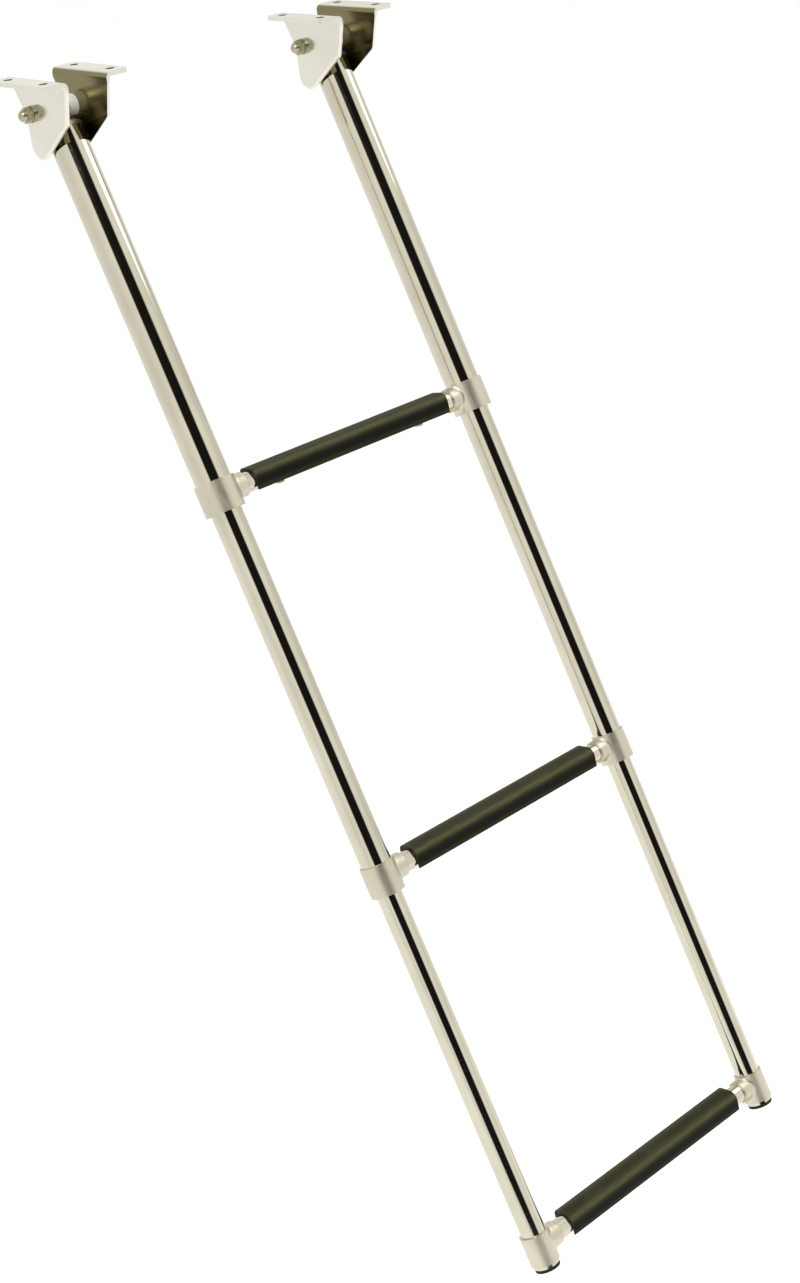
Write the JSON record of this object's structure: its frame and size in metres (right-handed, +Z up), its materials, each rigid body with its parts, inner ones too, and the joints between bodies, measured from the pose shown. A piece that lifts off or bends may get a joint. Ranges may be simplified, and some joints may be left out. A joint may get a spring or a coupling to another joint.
{
  "type": "telescoping boat boarding ladder",
  "caption": "Stainless telescoping boarding ladder with plastic treads, hinged in folded brackets that bolt under a swim platform.",
  "frame": {"origin": "centre of the mounting-hole pattern, on the top faces of the bracket flanges", "axes": "+X along the pivots and rungs, +Y inboard, +Z up out of the flange faces; the ladder is down on its stops and fully extended"},
  "size_m": [0.322, 0.4364, 0.8626],
  "materials": {
    "stainless_tube": "polished stainless tube",
    "stainless_fitting": "polished stainless fitting, welded",
    "stainless_sheet": "polished folded stainless sheet",
    "stainless_fastener": "stainless fastener",
    "nylon": "natural nylon",
    "tread_plastic": "ribbed moulded plastic",
    "plug_plastic": "moulded plastic"
  },
  "bodies": {
    "brackets": {"left_bracket": "stainless_sheet", "left_pivot_bolt": "stainless_fastener", "left_pivot_nut": "stainless_fastener", "right_bracket": "stainless_sheet", "right_pivot_bolt": "stainless_fastener", "right_pivot_nut": "stainless_fastener", "pivot_washers": "stainless_fastener", "pivot_spacers": "nylon"},
    "upper_section": {"left_upper_tube": "stainless_tube", "left_pivot_eye": "stainless_fitting", "left_upper_collar": "stainless_fitting", "right_upper_tube": "stainless_tube", "right_pivot_eye": "stainless_fitting", "right_upper_collar": "stainless_fitting", "eye_bushes": "nylon", "upper_guide_bushes": "nylon", "upper_rung_tube": "stainless_tube", "upper_tread": "tread_plastic", "upper_tread_screws": "stainless_fastener"},
    "middle_section": {"left_middle_tube": "stainless_tube", "left_middle_collar": "stainless_fitting", "right_middle_tube": "stainless_tube", "right_middle_collar": "stainless_fitting", "middle_sliders": "nylon", "middle_guide_bushes": "nylon", "middle_rung_tube": "stainless_tube", "middle_tread": "tread_plastic", "middle_tread_screws": "stainless_fastener"},
    "lower_section": {"left_lower_tube": "stainless_tube", "left_lower_collar": "stainless_fitting", "left_end_plug": "plug_plastic", "right_lower_tube": "stainless_tube", "right_lower_collar": "stainless_fitting", "right_end_plug": "plug_plastic", "lower_sliders": "nylon", "lower_rung_tube": "stainless_tube", "lower_tread": "tread_plastic", "lower_tread_screws": "stainless_fastener"}
  },
  "joints": [
    {"name": "ladder_swing", "type": "hinge", "parent": "brackets", "child": "upper_section", "pos_m": [0, 0.014, -0.025], "axis": [-1, 0, 0], "range_deg": [0, 64]},
    {"name": "middle_slide", "type": "slide", "parent": "upper_section", "child": "middle_section", "axis": [0, 0.4384, 0.8988], "range_m": [0, 0.236]},
    {"name": "lower_slide", "type": "slide", "parent": "middle_section", "child": "lower_section", "axis": [0, 0.4384, 0.8988], "range_m": [0, 0.236]}
  ]
}
